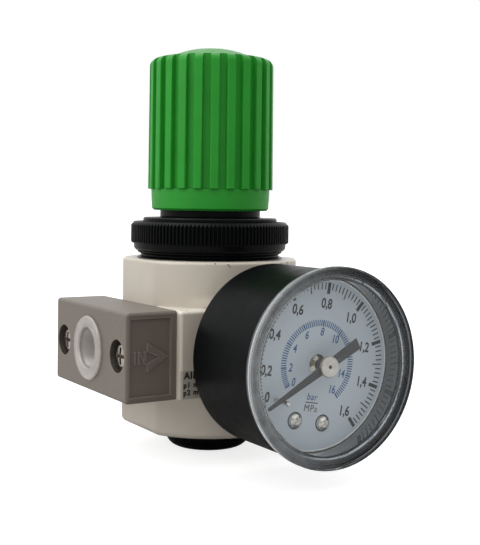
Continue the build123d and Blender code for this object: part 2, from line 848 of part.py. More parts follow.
# the pinion has a tooth on the line of centres, the sector a gap
pinion = pad_gon(toothed(PINION_T, PIVOT_A), 38.7, 40.1)
pinion += rod(0.5, 34.15, 48.0) + rod(0.85, 40.3, 41.2)
part("pinion_arbor", G(pinion))
mesh_a = PIVOT_A + 180
s_step = 360.0 / SECTOR_T
teeth = toothed(SECTOR_T, mesh_a + s_step / 2, -9, 2)
fan = pad_gon([(0, 0)] + teeth, 38.95, 39.75)
tail_a = -8.0
tail_pin = polar(4.6, tail_a)
tail = pad_gon(
    [polar(1.3, tail_a + 90), polar(1.3, tail_a - 90), (tail_pin[0], tail_pin[1] - 1.0), (tail_pin[0], tail_pin[1] + 1.0)],
    38.95,
    39.75,
)
sector = fan + tail + rod(1.5, 38.4, 40.3) + rod(0.6, 34.15, 43.7)
sector += rod(1.05, 38.95, 39.75, *tail_pin) + rod(0.5, 36.9, 39.75, *tail_pin)
part("sector_gear", G(Pos(pivot[0], pivot[1], 0) * sector))

# link from the sector's tail to the tube tip; its upper pivot is open
lx, ly = pivot[0] + tail_pin[0], pivot[1] + tail_pin[1]
ex, ey = 12.4, 1.0
d = math.hypot(ex - lx, ey - ly)
link = pad_gon(stroke([(lx, ly), (ex, ey)], 1.2), 38.25, 38.75)
link += rod(1.0, 38.25, 38.75, lx, ly) + rod(1.0, 38.25, 38.75, ex, ey)
link -= rod(0.55, 38, 39, lx, ly)
link += rod(0.45, 36.9, 38.5, ex, ey)
part("gauge_link", G(link))

# hairspring: a flat spiral from the collet to a post on the upper plate
spiral = []
turns_n, seg = 4, 36
for side_w in (1, -1):
    pts = []
    for i in range(turns_n * seg + 1):
        t = i / (turns_n * seg)
        a = 360.0 * turns_n * t
        r = 1.05 + (4.3 - 1.05) * t + side_w * 0.08
        pts.append(polar(r, a))
    spiral += pts if side_w > 0 else pts[::-1]
hair = pad_gon(spiral, 40.55, 41.05)
hair += block(4.05, 4.7, -0.45, 0.35, 40.3, 42.78)
part("hairspring", G(hair))

# pointer, with its hub bush, and the cap pressed on it
tip_l, tail_l = 16.6, 9.2
pointer_pts = [
    (tip_l, 0.18),
    (tip_l - 0.25, 0.32),
    (1.5, 0.9),
    (0, 1.9),
    (-1.5, 0.98),
    (-tail_l, 1.24),
    (-tail_l, -1.24),
    (-1.5, -0.98),
    (0, -1.9),
    (1.5, -0.9),
    (tip_l - 0.25, -0.32),
    (tip_l, -0.18),
]
hand = pad_gon(pointer_pts, POINTER_L, POINTER_L + 0.4)
hand += rod(1.25, 45.7, POINTER_L + 0.2)
hand -= rod(0.5, 40, 48.0)
part("pointer", G(Rot(0, 0, POINTER_REST) * hand))
hub = turned([(0, 48.62), (2.1, 48.62), (2.25, 48.77), (2.25, 49.35), (2.1, 49.5), (0.42, 49.5), (0.42, 49.2), (0, 49.2)])
part("pointer_cap", G(hub))

# blanking plug in the rear gauge port
rear = turned(
    [
        (0, PAD_Y - 7.6),
        (3.9, PAD_Y - 7.6),
        (4.24, PAD_Y - 7.1),
        (4.24, PAD_Y + SEAL_T),
        (6.5, PAD_Y + SEAL_T),
        (6.9, PAD_Y + SEAL_T + 0.4),
        (6.9, PAD_Y + SEAL_T + 2.2),
        (6.5, PAD_Y + SEAL_T + 2.6),
        (0, PAD_Y + SEAL_T + 2.6),
    ]
)
rear -= Pos(0, 0, PAD_Y - 0.6) * extrude(
    RegularPolygon(2.5, 6, major_radius=False), 6
)
TO_REAR = Pos(0, 0, GAUGE_Z) * Rot(-90, 0, 0)
part("rear_port_plug", TO_REAR * rear)
part("rear_plug_seal", TO_REAR * tube(6.6, 4.4, PAD_Y + 0.02, PAD_Y + SEAL_T - 0.02))

# -------------------------------------------------------------------- export
for node, pieces in PARTS.items():
    solids = []
    for piece in pieces:
        solids += list(piece.solids())
    if len(solids) != len(pieces):
        print("note", node, "has", len(solids), "solids")
    if len(solids) == 1:
        export_step(solids[0], f"parts/{node}.step")
    else:
        export_step(Compound(children=solids), f"parts/{node}.step")
print(len(PARTS), "nodes written")
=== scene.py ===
"""Looks of the air pressure regulator: materials, dial and body print, port threads, camera and light."""

import json
import math

import bpy
import numpy as np
from mathutils import Matrix, Vector


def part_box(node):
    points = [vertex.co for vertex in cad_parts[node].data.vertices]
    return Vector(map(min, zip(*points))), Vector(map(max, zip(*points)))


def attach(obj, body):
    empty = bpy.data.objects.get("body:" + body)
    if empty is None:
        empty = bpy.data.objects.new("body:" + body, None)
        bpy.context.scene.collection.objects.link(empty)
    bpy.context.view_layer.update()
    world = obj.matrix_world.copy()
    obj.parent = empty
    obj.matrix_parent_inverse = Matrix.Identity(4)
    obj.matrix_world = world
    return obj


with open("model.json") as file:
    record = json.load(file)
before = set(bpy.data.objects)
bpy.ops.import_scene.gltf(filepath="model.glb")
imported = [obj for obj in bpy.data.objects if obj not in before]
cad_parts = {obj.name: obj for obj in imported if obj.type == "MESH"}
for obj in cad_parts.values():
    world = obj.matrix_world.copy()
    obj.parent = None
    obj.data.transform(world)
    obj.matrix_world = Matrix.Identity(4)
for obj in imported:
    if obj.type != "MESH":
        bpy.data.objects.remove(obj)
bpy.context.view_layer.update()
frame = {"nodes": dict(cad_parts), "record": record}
NODES = frame["nodes"]
MM = 0.001
scene = bpy.context.scene

# ------------------------------------------------------------------ places, all from the CAD
_dlo, _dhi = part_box("gauge_dial")
GZ = (_dlo.z + _dhi.z) / 2 / MM               # gauge axis height
DIAL_L = -_dlo.y / MM                         # front face of the dial
_plo, _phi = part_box("inlet_plate")
PORT_Z = (_plo.z + _phi.z) / 2 / MM
PLATE_X = -_plo.x / MM                        # outer face of both plates
_blo, _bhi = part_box("body")
PAD_Y = -_blo.y / MM
BODY_TOP = _bhi.z / MM
_wlo, _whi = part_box("gauge_window")
WIN_L = -_wlo.y / MM
TURN = math.radians(-10.0)
COS, SIN = math.cos(TURN), math.sin(TURN)


def gauge(p):
    """Points (x right, y up, L towards the reader) of the gauge to the frame, in metres."""
    p = np.asarray(p, float).reshape(-1, 3)
    xr = p[:, 0] * COS - p[:, 1] * SIN
    yr = p[:, 0] * SIN + p[:, 1] * COS
    return np.stack([xr, -p[:, 2], GZ + yr], 1) * MM


# ------------------------------------------------------------------ small mesh kit
def add_piece(name, verts, faces, mat, body, smooth=False):
    me = bpy.data.meshes.new(name)
    me.from_pydata([tuple(v) for v in verts], [], [tuple(int(i) for i in f) for f in faces])
    me.validate()
    me.update()
    ob = bpy.data.objects.new(name, me)
    scene.collection.objects.link(ob)
    me.materials.append(mat)
    if smooth:
        me.shade_smooth()
    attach(ob, body)
    return ob


class Soup:
    """Collects vertices and faces of one printed colour."""

    def __init__(self):
        self.v, self.f, self.n = [], [], 0

    def add(self, verts, faces):
        self.v.append(np.asarray(verts, float))
        self.f += [[i + self.n for i in f] for f in faces]
        self.n += len(verts)

    def prism(self, outline, z0, z1):
        """outline: points (x, y), counter-clockwise seen from +z."""
        n = len(outline)
        v = [(x, y, z0) for x, y in outline] + [(x, y, z1) for x, y in outline]
        f = [list(range(n - 1, -1, -1)), list(range(n, 2 * n))]
        f += [[i, (i + 1) % n, n + (i + 1) % n, n + i] for i in range(n)]
        self.add(v, f)

    def verts(self):
        return np.concatenate(self.v)


def glyphs(text, bold=0.0, spacing=1.0):
    """Flat letters of the built-in font with a unit capital height, as points and faces with sides."""
    cu = bpy.data.curves.new("glyphs", "FONT")
    cu.body = text
    cu.size = 1.0
    cu.resolution_u = 5
    cu.offset = bold
    cu.extrude = 0.5
    cu.space_character = spacing
    ob = bpy.data.objects.new("glyphs", cu)
    scene.collection.objects.link(ob)
    bpy.context.view_layer.update()
    dg = bpy.context.evaluated_depsgraph_get()
    me = bpy.data.meshes.new_from_object(ob.evaluated_get(dg))
    v = np.array([x.co for x in me.vertices], float).reshape(-1, 3)
    f = [list(p.vertices) for p in me.polygons]
    bpy.data.objects.remove(ob)
    bpy.data.curves.remove(cu)
    bpy.data.meshes.remove(me)
    return v, f


_cap = glyphs("0")[0]
CAP = _cap[:, 1].max() - _cap[:, 1].min()     # height of a figure at size 1


def lettering(soup, text, x, y, height, z0, z1, squeeze=0.78, bold=0.0, spacing=1.0, align="centre", turn=0.0, slant=0.0):
    """Letters whose figures are `height` tall, centred (or starting) at x, y."""
    v, f = glyphs(text, bold, spacing)
    k = height / CAP
    px = v[:, 0] * k * squeeze + slant * v[:, 1] * k
    py = v[:, 1] * k
    low = 0.0
    if align == "centre":
        px -= (px.max() + px.min()) / 2
        py -= height / 2
    else:
        px -= px.min()
    c, s = math.cos(turn), math.sin(turn)
    out = np.stack([x + px * c - py * s, y + px * s + py * c + low, np.where(v[:, 2] > 0, z1, z0)], 1)
    soup.add(out, f)


# ------------------------------------------------------------------ node helpers
class Mat:
    def __init__(self, name):
        self.m = bpy.data.materials.new(name)
        self.m.use_nodes = True
        self.nt = self.m.node_tree
        self.nt.nodes.clear()
        self.out = self.nt.nodes.new("ShaderNodeOutputMaterial")

    def n(self, kind, **props):
        node = self.nt.nodes.new(kind)
        for k, v in props.items():
            setattr(node, k, v)
        return node

    def link(self, a, b):
        self.nt.links.new(a, b)

    def setin(self, node, **vals):
        for k, v in vals.items():
            key = k.replace("_", " ")
            node.inputs[key].default_value = v
        return node

    def bsdf(self, base, rough, metallic=0.0, spec=0.5, ior=1.5, coat=0.0, coat_rough=0.05, transmission=0.0, subsurface=0.0, sub_radius=(0.001, 0.001, 0.001)):
        b = self.n("ShaderNodeBsdfPrincipled")
        b.inputs["Base Color"].default_value = (*base, 1)
        b.inputs["Roughness"].default_value = rough
        b.inputs["Metallic"].default_value = metallic
        b.inputs["Specular IOR Level"].default_value = spec
        b.inputs["IOR"].default_value = ior
        b.inputs["Coat Weight"].default_value = coat
        b.inputs["Coat Roughness"].default_value = coat_rough
        b.inputs["Transmission Weight"].default_value = transmission
        b.inputs["Subsurface Weight"].default_value = subsurface
        b.inputs["Subsurface Radius"].default_value = sub_radius
        self.link(b.outputs[0], self.out.inputs["Surface"])
        return b

    def pos(self):
        """Object coordinates: the frame's own coordinates, which stay with the piece as it moves."""
        return self.n("ShaderNodeTexCoord").outputs["Object"]

    def noise(self, scale, detail=3.0, rough=0.5, vec=None, stretch=None):
        t = self.n("ShaderNodeTexNoise")
        t.inputs["Scale"].default_value = scale
        t.inputs["Detail"].default_value = detail
        t.inputs["Roughness"].default_value = rough
        src = vec or self.pos()
        if stretch:
            mp = self.n("ShaderNodeMapping")
            mp.inputs["Scale"].default_value = stretch
            self.link(src, mp.inputs["Vector"])
            src = mp.outputs[0]
        self.link(src, t.inputs["Vector"])
        return t.outputs["Fac"]

    def math(self, op, a, b=None, c=None, clamp=False):
        m = self.n("ShaderNodeMath", operation=op, use_clamp=clamp)
        for i, x in enumerate((a, b, c)):
            if x is None:
                continue
            if isinstance(x, (int, float)):
                m.inputs[i].default_value = x
            else:
                self.link(x, m.inputs[i])
        return m.outputs[0]

    def ramp(self, x, lo, hi, to_lo=0.0, to_hi=1.0, smooth=True):
        r = self.n("ShaderNodeMapRange")
        r.interpolation_type = "SMOOTHSTEP" if smooth else "LINEAR"
        r.inputs["From Min"].default_value = lo
        r.inputs["From Max"].default_value = hi
        r.inputs["To Min"].default_value = to_lo
        r.inputs["To Max"].default_value = to_hi
        self.link(x, r.inputs["Value"])
        return r.outputs["Result"]

    def mix(self, fac, a, b):
        m = self.n("ShaderNodeMix", data_type="RGBA")
        ins = [s for s in m.inputs if s.enabled]
        f, ca, cb = ins[0], ins[1], ins[2]
        if isinstance(fac, (int, float)):
            f.default_value = fac
        else:
            self.link(fac, f)
        for s, x in ((ca, a), (cb, b)):
            if isinstance(x, tuple):
                s.default_value = (*x, 1)
            else:
                self.link(x, s)
        return [s for s in m.outputs if s.enabled][0]

    def bump(self, height, strength, distance, normal=None):
        b = self.n("ShaderNodeBump")
        b.inputs["Strength"].default_value = strength
        b.inputs["Distance"].default_value = distance
        self.link(height, b.inputs["Height"])
        if normal is not None:
            self.link(normal, b.inputs["Normal"])
        return b.outputs["Normal"]

    def bevel(self, radius, samples=4):
        b = self.n("ShaderNodeBevel", samples=samples)
        b.inputs["Radius"].default_value = radius
        return b.outputs["Normal"]

    def edge(self, radius, lo=0.02, hi=0.22, samples=6):
        """1 along sharp edges, where the rounded normal leaves the true one."""
        g = self.n("ShaderNodeNewGeometry")
        dot = self.n("ShaderNodeVectorMath", operation="DOT_PRODUCT")
        self.link(self.bevel(radius, samples), dot.inputs[0])
        self.link(g.outputs["True Normal"], dot.inputs[1])
        return self.ramp(self.math("SUBTRACT", 1.0, dot.outputs["Value"]), lo, hi)

    def facing(self):
        """x, y, z of the smooth normal."""
        return self.xyz(self.n("ShaderNodeNewGeometry").outputs["Normal"])

    def xyz(self, vec):
        s = self.n("ShaderNodeSeparateXYZ")
        self.link(vec, s.inputs[0])
        return s.outputs


def scratches(m, scale, stretch, lo, hi):
    """Fine directional wear, 0..1."""
    f = m.noise(scale, 4.0, 0.6, stretch=stretch)
    return m.ramp(f, lo, hi)


# ------------------------------------------------------------------ materials
def body_paint():
    m = Mat("body_paint")
    b = m.bsdf((0.60, 0.545, 0.465), 0.36, spec=0.5, coat=0.3, coat_rough=0.12)
    x, y, z = m.xyz(m.pos())
    # slow mottling of the paint
    slow = m.noise(140.0, 3.0)
    col = m.mix(m.ramp(slow, 0.35, 0.7), (0.605, 0.550, 0.470), (0.580, 0.527, 0.448))
    # pinholes and chips gathered along the two upper rims at the front
    pin = m.n("ShaderNodeTexVoronoi", feature="F1")
    pin.inputs["Scale"].default_value = 900.0
    pin.inputs["Randomness"].default_value = 1.0
    m.link(m.pos(), pin.inputs["Vector"])
    dots = m.ramp(pin.outputs["Distance"], 0.15, 0.30, 1.0, 0.0)
    sparse = m.ramp(m.noise(330.0, 2.0), 0.48, 0.54)
    rim_top = m.math("MULTIPLY", m.ramp(z, (BODY_TOP - 1.5) * MM, (BODY_TOP - 0.6) * MM), m.ramp(z, (BODY_TOP - 0.25) * MM, (BODY_TOP - 0.05) * MM, 1.0, 0.0))
    pad_top = m.math("MULTIPLY", m.ramp(z, (PORT_Z + 9.2) * MM, (PORT_Z + 9.6) * MM), m.ramp(z, (PORT_Z + 10.2) * MM, (PORT_Z + 10.8) * MM, 1.0, 0.0))
    zone = m.math("MAXIMUM", rim_top, pad_top)
    front = m.ramp(y, -20.0 * MM, -13.0 * MM, 1.0, 0.0)
    chips = m.math("MULTIPLY", m.math("MULTIPLY", dots, sparse), m.math("MULTIPLY", zone, front))
    # a few tiny specks anywhere
    speck = m.n("ShaderNodeTexVoronoi", feature="F1")
    speck.inputs["Scale"].default_value = 260.0
    m.link(m.pos(), speck.inputs["Vector"])
    few = m.math("MULTIPLY", m.ramp(speck.outputs["Distance"], 0.035, 0.07, 1.0, 0.0), m.ramp(m.noise(190.0, 1.0), 0.55, 0.6))
    marks = m.math("MAXIMUM", chips, m.math("MULTIPLY", few, 0.65))
    # painted highlight on the upward-facing edge of the pad
    nx, ny, nz = m.facing()
    painted_ledge_highlight = m.math("MULTIPLY", m.math("MULTIPLY", m.ramp(z, (PORT_Z + 8.9) * MM, (PORT_Z + 9.3) * MM), m.ramp(z, (PORT_Z + 11.0) * MM, (PORT_Z + 12.0) * MM, 1.0, 0.0)), m.ramp(nz, 0.15, 0.75))
    col = m.mix(m.math("MULTIPLY", painted_ledge_highlight, 0.8), col, (0.80, 0.74, 0.65))
    # painted highlight on the barrel's fillet just over the front pad
    painted_fillet_highlight = m.math("MULTIPLY", m.math("MULTIPLY", m.ramp(z, (PORT_Z + 9.9) * MM, (PORT_Z + 10.3) * MM), m.ramp(z, (PORT_Z + 11.4) * MM, (PORT_Z + 13.4) * MM, 1.0, 0.0)), m.ramp(y, -20.5 * MM, -14.0 * MM, 1.0, 0.0))
    col = m.mix(m.math("MULTIPLY", painted_fillet_highlight, 0.75), col, (0.84, 0.775, 0.68))
    col = m.mix(marks, col, (0.12, 0.10, 0.08))
    m.link(col, b.inputs["Base Color"])
    peel = m.noise(620.0, 2.0, 0.45)
    wave = m.noise(95.0, 1.0)
    n = m.bump(peel, 0.22, 0.00009, m.bevel(0.00025))
    n = m.bump(wave, 0.28, 0.00035, n)
    n = m.bump(m.math("SUBTRACT", 1.0, marks), 0.6, 0.00012, n)
    m.link(n, b.inputs["Normal"])
    m.link(n, b.inputs["Coat Normal"])
    m.link(m.ramp(m.noise(300.0, 3.0), 0.3, 0.75, 0.30, 0.42), b.inputs["Roughness"])
    return m.m


def plate_paint():
    m = Mat("plate_paint")
    b = m.bsdf((0.18, 0.155, 0.13), 0.46, spec=0.5)
    x, y, z = m.xyz(m.pos())
    f = m.noise(900.0, 3.0)
    col = m.mix(m.ramp(f, 0.3, 0.75), (0.178, 0.151, 0.128), (0.171, 0.145, 0.122))
    grit = m.ramp(m.noise(3000.0, 2.0, 0.6), 0.35, 0.72)
    col = m.mix(m.math("MULTIPLY", grit, 0.30), col, (0.145, 0.122, 0.102))
    # the long faces are darkened with painted shade, and sharp edges are lightened with a painted highlight
    side = m.ramp(m.math("ABSOLUTE", y), 19.30 * MM, 19.55 * MM)
    col = m.mix(m.math("MULTIPLY", side, 0.75), col, (0.122, 0.099, 0.080))
    col = m.mix(m.math("MULTIPLY", m.edge(0.00024, 0.01, 0.12), 0.85), col, (0.36, 0.32, 0.28))
    # painted shade inside the two screw recesses
    dy = m.math("SUBTRACT", m.math("ABSOLUTE", y), 15.0 * MM)
    dz = m.math("SUBTRACT", z, PORT_Z * MM)
    r = m.math("SQRT", m.math("ADD", m.math("MULTIPLY", dy, dy), m.math("MULTIPLY", dz, dz)))
    deep = m.ramp(m.math("ABSOLUTE", x), (PLATE_X - 0.40) * MM, (PLATE_X - 0.06) * MM, 1.0, 0.0)
    painted_recess_shade = m.math("MULTIPLY", m.ramp(r, 3.80 * MM, 3.95 * MM, 1.0, 0.0), deep)
    col = m.mix(m.math("MULTIPLY", painted_recess_shade, 0.85), col, (0.022, 0.018, 0.015))
    m.link(col, b.inputs["Base Color"])
    grain = m.noise(2600.0, 2.0, 0.55)
    n = m.bump(grain, 0.45, 0.00005, m.bevel(0.00010))
    m.link(n, b.inputs["Normal"])
    m.link(m.ramp(m.noise(1500.0, 2.0), 0.3, 0.75, 0.44, 0.52), b.inputs["Roughness"])
    return m.m


def knob_green():
    m = Mat("knob_green")
    b = m.bsdf((0.022, 0.38, 0.028), 0.40, spec=0.24)
    f = m.noise(160.0, 3.0)
    col = m.mix(m.ramp(f, 0.3, 0.75), (0.024, 0.325, 0.030), (0.022, 0.300, 0.027))
    # painted highlight along the sharp edges of the ribs
    col = m.mix(m.math("MULTIPLY", m.edge(0.00016), 0.45), col, (0.065, 0.50, 0.075))
    # up-facing surfaces, the dome most, are darkened: painted shade
    nx, ny, nz = m.facing()
    col = m.mix(m.math("MULTIPLY", m.ramp(nz, 0.45, 0.85), 0.45), col, (0.030, 0.170, 0.032))
    m.link(col, b.inputs["Base Color"])
    n = m.bump(m.noise(3800.0, 2.0, 0.6), 0.30, 0.00004, m.bevel(0.00012))
    n = m.bump(m.noise(260.0, 1.0), 0.12, 0.0002, n)
    m.link(n, b.inputs["Normal"])
    m.link(m.ramp(m.noise(500.0, 3.0), 0.3, 0.75, 0.34, 0.44), b.inputs["Roughness"])
    return m.m


def black_plastic():
    m = Mat("black_plastic")
    b = m.bsdf((0.0020, 0.0024, 0.0028), 0.30, spec=0.10)
    dust = m.math("MULTIPLY", m.ramp(m.noise(5200.0, 2.0, 0.7), 0.74, 0.80), 0.25)
    m.link(m.mix(dust, (0.0020, 0.0024, 0.0028), (0.05, 0.05, 0.05)), b.inputs["Base Color"])
    n = m.bump(m.noise(3000.0, 2.0, 0.6), 0.25, 0.00004, m.bevel(0.00014))
    m.link(n, b.inputs["Normal"])
    m.link(m.ramp(m.noise(420.0, 3.0), 0.3, 0.75, 0.24, 0.34), b.inputs["Roughness"])
    return m.m


def case_black():
    """Satin outside, smooth and glossier inside the cup."""
    m = Mat("case_black")
    b = m.bsdf((0.0018, 0.0023, 0.0028), 0.36, spec=0.075)
    x, y, z = m.xyz(m.pos())
    dz = m.math("SUBTRACT", z, GZ * MM)
    r = m.math("SQRT", m.math("ADD", m.math("MULTIPLY", x, x), m.math("MULTIPLY", dz, dz)))
    inside = m.ramp(r, 0.01945, 0.0197, 1.0, 0.0, smooth=False)
    spec_in = m.math("MULTIPLY_ADD", inside, 0.5, 0.075)
    m.link(inside, b.inputs["Coat Weight"])
    b.inputs["Coat Roughness"].default_value = 0.02
    b.inputs["Coat IOR"].default_value = 1.9
    m.link(spec_in, b.inputs["Specular IOR Level"])
    rough = m.ramp(m.noise(420.0, 3.0), 0.3, 0.75, 0.33, 0.42)
    mixr = m.n("ShaderNodeMix", data_type="FLOAT")
    m.link(inside, mixr.inputs[0])
    m.link(rough, mixr.inputs[2])
    mixr.inputs[3].default_value = 0.03
    m.link(mixr.outputs[0], b.inputs["Roughness"])
    tone = m.mix(inside, (0.0018, 0.0023, 0.0028), (0.024, 0.028, 0.032))
    # the black rim under the clear flange is painted lighter on its left side: painted light let through the flange,
    # in streaks
    painted_lip_light = m.math("MULTIPLY", m.ramp(y, -(WIN_L - 2.2) * MM, -(WIN_L - 3.2) * MM, 1.0, 0.0), m.ramp(x, -0.016, 0.006, 1.0, 0.0))
    lip_light_streaks = m.ramp(m.noise(300.0, 3.0, 0.6, stretch=(1, 0.2, 1)), 0.3, 0.7, 0.5, 1.0)
    tone = m.mix(m.math("MULTIPLY", painted_lip_light, lip_light_streaks), tone, (0.15, 0.163, 0.175))
    m.link(tone, b.inputs["Base Color"])
    grain = m.math("MULTIPLY", m.noise(2400.0, 2.0, 0.6), m.math("SUBTRACT", 1.0, inside))
    n = m.bump(grain, 0.22, 0.00003, m.bevel(0.00012))
    m.link(n, b.inputs["Normal"])
    return m.m


def clear_plastic():
    """Clear moulding: refracting for what is seen, open to shadow and diffuse rays so that the dial is lit."""
    m = Mat("clear_plastic")
    glass = m.n("ShaderNodeBsdfGlass")
    glass.inputs["Roughness"].default_value = 0.0
    glass.inputs["IOR"].default_value = 1.49
    glass.inputs["Color"].default_value = (0.985, 0.995, 1.0, 1)
    clear = m.n("ShaderNodeBsdfTransparent")
    clear.inputs["Color"].default_value = (1.0, 1.0, 1.0, 1)
    lp = m.n("ShaderNodeLightPath")
    through = m.math("MAXIMUM", lp.outputs["Is Shadow Ray"], lp.outputs["Is Diffuse Ray"])
    mix = m.n("ShaderNodeMixShader")
    m.link(through, mix.inputs[0])
    m.link(glass.outputs[0], mix.inputs[1])
    m.link(clear.outputs[0], mix.inputs[2])
    # the thick rim's glass is tinted dark towards the right: painted shade where it is seen edge-on over the black
    # case
    gx, gy, gz = m.xyz(m.pos())
    gd = m.math("SUBTRACT", gz, GZ * MM)
    gr = m.math("SQRT", m.math("ADD", m.math("MULTIPLY", gx, gx), m.math("MULTIPLY", gd, gd)))
    painted_rim_shade = m.math("MULTIPLY", m.ramp(gr, 0.0194, 0.0199), m.ramp(gx, -0.004, 0.012))
    tint = m.mix(painted_rim_shade, (0.985, 0.995, 1.0), (0.45, 0.47, 0.49))
    # the flange's moulding steps, drawn as thin dark rings of painted shade in its tint, stronger towards the right
    wave = m.math("SINE", m.math("MULTIPLY", gr, 2 * math.pi / 0.00042))
    rings = m.math("MULTIPLY", m.ramp(wave, 0.55, 0.9), m.ramp(gr, 0.0187, 0.0189))
    part = m.ramp(gx, -0.014, 0.010, 0.12, 0.8)
    m.link(m.mix(m.math("MULTIPLY", rings, part), tint, (0.30, 0.32, 0.34)), glass.inputs["Color"])
    # hair scratches and dust on the face
    n = m.bump(m.noise(420.0, 1.0, 0.4), 0.04, 0.00003)
    m.link(n, glass.inputs["Normal"])
    film = m.n("ShaderNodeBsdfDiffuse")
    film.inputs["Color"].default_value = (0.8, 0.82, 0.84, 1)
    x, y, z = m.xyz(m.pos())
    dz = m.math("SUBTRACT", z, GZ * MM)
    r = m.math("SQRT", m.math("ADD", m.math("MULTIPLY", x, x), m.math("MULTIPLY", dz, dz)))
    face = m.math("MULTIPLY", m.ramp(y, -(WIN_L - 0.5) * MM, -(WIN_L - 1.6) * MM, 1.0, 0.0), 1.0)
    dust = m.math("MULTIPLY", m.ramp(m.noise(2600.0, 2.0, 0.7), 0.72, 0.78), 0.22)
    haze = m.math("ADD", m.ramp(r, 0.0184, 0.0190, 0.0, 0.012), m.math("MULTIPLY", dust, face))
    mix2 = m.n("ShaderNodeMixShader")
    m.link(m.math("MULTIPLY", haze, m.math("SUBTRACT", 1.0, through)), mix2.inputs[0])
    m.link(mix.outputs[0], mix2.inputs[1])
    m.link(film.outputs[0], mix2.inputs[2])
    m.link(mix2.outputs[0], m.out.inputs["Surface"])
    return m.m


def dial_white():
    m = Mat("dial_white")
    b = m.bsdf((0.66, 0.735, 0.80), 0.42, spec=0.45)
    m.link(m.mix(m.ramp(m.noise(180.0, 3.0), 0.3, 0.75), (0.560, 0.632, 0.700), (0.545, 0.616, 0.684)), b.inputs["Base Color"])
    m.link(m.bump(m.noise(1500.0, 2.0), 0.08, 0.00003), b.inputs["Normal"])
    return m.m


def flat_ink(name, colour, rough=0.5):
    m = Mat(name)
    b = m.bsdf(colour, rough, spec=0.4)
    dark = tuple(c * 0.8 for c in colour)
    m.link(m.mix(m.ramp(m.noise(1600.0, 2.0), 0.35, 0.75), colour, dark), b.inputs["Base Color"])
    return m.m


def pointer_black():
    m = Mat("pointer_black")
    b = m.bsdf((0.032, 0.034, 0.038), 0.45, spec=0.5)
    n = m.bump(m.noise(1800.0, 2.0), 0.15, 0.00003, m.bevel(0.00006))
    m.link(n, b.inputs["Normal"])
    m.link(m.ramp(m.noise(600.0, 3.0), 0.3, 0.75, 0.4, 0.52), b.inputs["Roughness"])
    return m.m


def metal(name, colour, rough, wear, stretch=(1, 1, 1), spread=0.1, edge=0.00012):
    m = Mat(name)
    b = m.bsdf(colour, rough, metallic=1.0)
    tone = m.noise(520.0, 3.0)
    m.link(m.mix(m.ramp(tone, 0.3, 0.75), colour, tuple(c * 0.84 for c in colour)), b.inputs["Base Color"])
    s = scratches(m, 2400.0, stretch, 0.35, 0.75)
    m.link(m.ramp(s, 0.0, 1.0, rough - spread, rough + spread), b.inputs["Roughness"])
    n = m.bump(s, wear, 0.00004, m.bevel(edge))
    m.link(n, b.inputs["Normal"])
    return m.m


def turned_cap():
    """Bright cap with lathe rings; the pinion end in its middle is painted dark brown, its own tone deepened with
    painted shade.
    """
    m = Mat("turned_cap")
    b = m.bsdf((0.80, 0.75, 0.68), 0.30, metallic=1.0)
    x, y, z = m.xyz(m.pos())
    dz = m.math("SUBTRACT", z, GZ * MM)
    r = m.math("SQRT", m.math("ADD", m.math("MULTIPLY", x, x), m.math("MULTIPLY", dz, dz)))
    # the pinion end at the centre: its own dark brown, deepened with painted shade
    pinion_end_and_shade = m.ramp(r, 0.00036, 0.00044, 1.0, 0.0)
    side = m.ramp(r, 0.00212, 0.00222, 0.0, 1.0)
    tone = m.mix(m.ramp(m.noise(700.0, 2.0), 0.3, 0.75), (0.82, 0.77, 0.70), (0.74, 0.69, 0.62))
    tone = m.mix(side, tone, (0.50, 0.42, 0.30))
    m.link(m.mix(pinion_end_and_shade, tone, (0.045, 0.018, 0.010)), b.inputs["Base Color"])
    rings = m.math("SINE", m.math("MULTIPLY", r, 42000.0))
    n = m.bump(rings, 0.10, 0.00001)
    m.link(n, b.inputs["Normal"])
    m.link(m.ramp(m.noise(900.0, 2.0), 0.3, 0.75, 0.26, 0.40), b.inputs["Roughness"])
    return m.m


def rubber():
    m = Mat("rubber")
    b = m.bsdf((0.014, 0.014, 0.014), 0.72, spec=0.4)
    m.link(m.mix(m.ramp(m.noise(1400.0, 2.0), 0.4, 0.8), (0.014, 0.014, 0.014), (0.022, 0.022, 0.021)), b.inputs["Base Color"])
    m.link(m.bump(m.noise(2600.0, 3.0), 0.3, 0.00005), b.inputs["Normal"])
    return m.m


